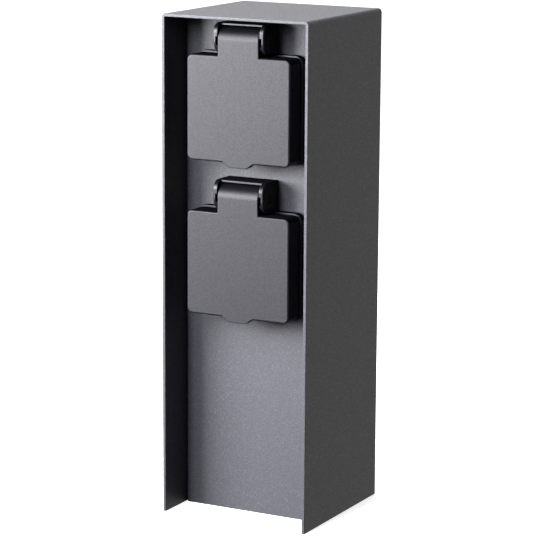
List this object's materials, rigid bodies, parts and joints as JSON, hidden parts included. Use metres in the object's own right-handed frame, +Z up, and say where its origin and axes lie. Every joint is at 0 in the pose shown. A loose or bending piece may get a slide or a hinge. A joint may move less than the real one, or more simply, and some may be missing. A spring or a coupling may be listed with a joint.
{
  "type": "garden socket column",
  "caption": "Low square metal column with recessed front and spring-lidded weatherproof plug sockets under a bent sheet hood, on a ground plate with a cable inlet.",
  "frame": {"origin": "middle of the footprint, on the ground", "axes": "+Z up, -Y towards the front with the lids, +X to the right when facing the front"},
  "size_m": [0.08, 0.079, 0.25],
  "materials": {
    "coated_steel": "fine-grained matte powder coat",
    "zinc_steel": "zinc plated",
    "bright_steel": "plain bright steel",
    "lid_plastic": "satin, lightly textured",
    "frame_plastic": "smooth black",
    "carrier_plastic": "dull black",
    "nylon": "natural nylon",
    "gland_plastic": "grey nylon",
    "seal_rubber": "soft black rubber",
    "brass": "plain",
    "wire_brown": "insulation",
    "wire_blue": "insulation",
    "wire_green": "insulation, green with a yellow stripe"
  },
  "bodies": {
    "column": {"hood": "coated_steel", "front_panel": "coated_steel", "back_panel": "coated_steel", "back_screws": "bright_steel", "clinch_nuts": "zinc_steel", "base_plate": "zinc_steel", "cable_grommet": "seal_rubber", "terminal_bracket": "zinc_steel", "bracket_screws": "zinc_steel", "gland_body": "gland_plastic", "gland_dome_nut": "gland_plastic", "gland_bush": "seal_rubber", "gland_locknut": "gland_plastic", "terminal_block": "nylon", "terminal_clamps": "brass", "clamp_screws": "zinc_steel", "block_screws": "zinc_steel", "earth_stud": "zinc_steel", "earth_lug": "brass", "earth_nut": "brass", "earth_stud_wire": "wire_green", "feed_line_wire": "wire_brown", "feed_earth_wire": "wire_green", "feed_neutral_wire": "wire_blue", "link_line_wire": "wire_brown", "link_earth_wire": "wire_green", "link_neutral_wire": "wire_blue", "lower_socket_frame": "frame_plastic", "lower_flange_gasket": "seal_rubber", "lower_flange_screws": "bright_steel", "lower_flange_nuts": "zinc_steel", "lower_contact_carrier": "carrier_plastic", "lower_line_contact": "brass", "lower_neutral_contact": "brass", "lower_earth_strap": "brass", "lower_terminal_screws": "zinc_steel", "lower_rear_cover": "carrier_plastic", "lower_cover_screws": "zinc_steel", "lower_hinge_pin": "bright_steel", "lower_lid_spring": "bright_steel", "upper_socket_frame": "frame_plastic", "upper_flange_gasket": "seal_rubber", "upper_flange_screws": "bright_steel", "upper_flange_nuts": "zinc_steel", "upper_contact_carrier": "carrier_plastic", "upper_line_contact": "brass", "upper_neutral_contact": "brass", "upper_earth_strap": "brass", "upper_terminal_screws": "zinc_steel", "upper_rear_cover": "carrier_plastic", "upper_cover_screws": "zinc_steel", "upper_hinge_pin": "bright_steel", "upper_lid_spring": "bright_steel"},
    "lower_flap": {"lower_lid": "lid_plastic", "lower_lid_seal": "seal_rubber"},
    "upper_flap": {"upper_lid": "lid_plastic", "upper_lid_seal": "seal_rubber"}
  },
  "joints": [
    {"name": "lower_lid_hinge", "type": "hinge", "parent": "column", "child": "lower_flap", "pos_m": [0, -0.0285, 0.1615], "axis": [-1, 0, 0], "range_deg": [0, 95], "stiffness_Nm_per_rad": 0.03, "springref_deg": -34.38, "deforming": ["lower_lid_spring"]},
    {"name": "upper_lid_hinge", "type": "hinge", "parent": "column", "child": "upper_flap", "pos_m": [0, -0.0285, 0.2379], "axis": [-1, 0, 0], "range_deg": [0, 95], "stiffness_Nm_per_rad": 0.03, "springref_deg": -34.38, "deforming": ["upper_lid_spring"]}
  ]
}
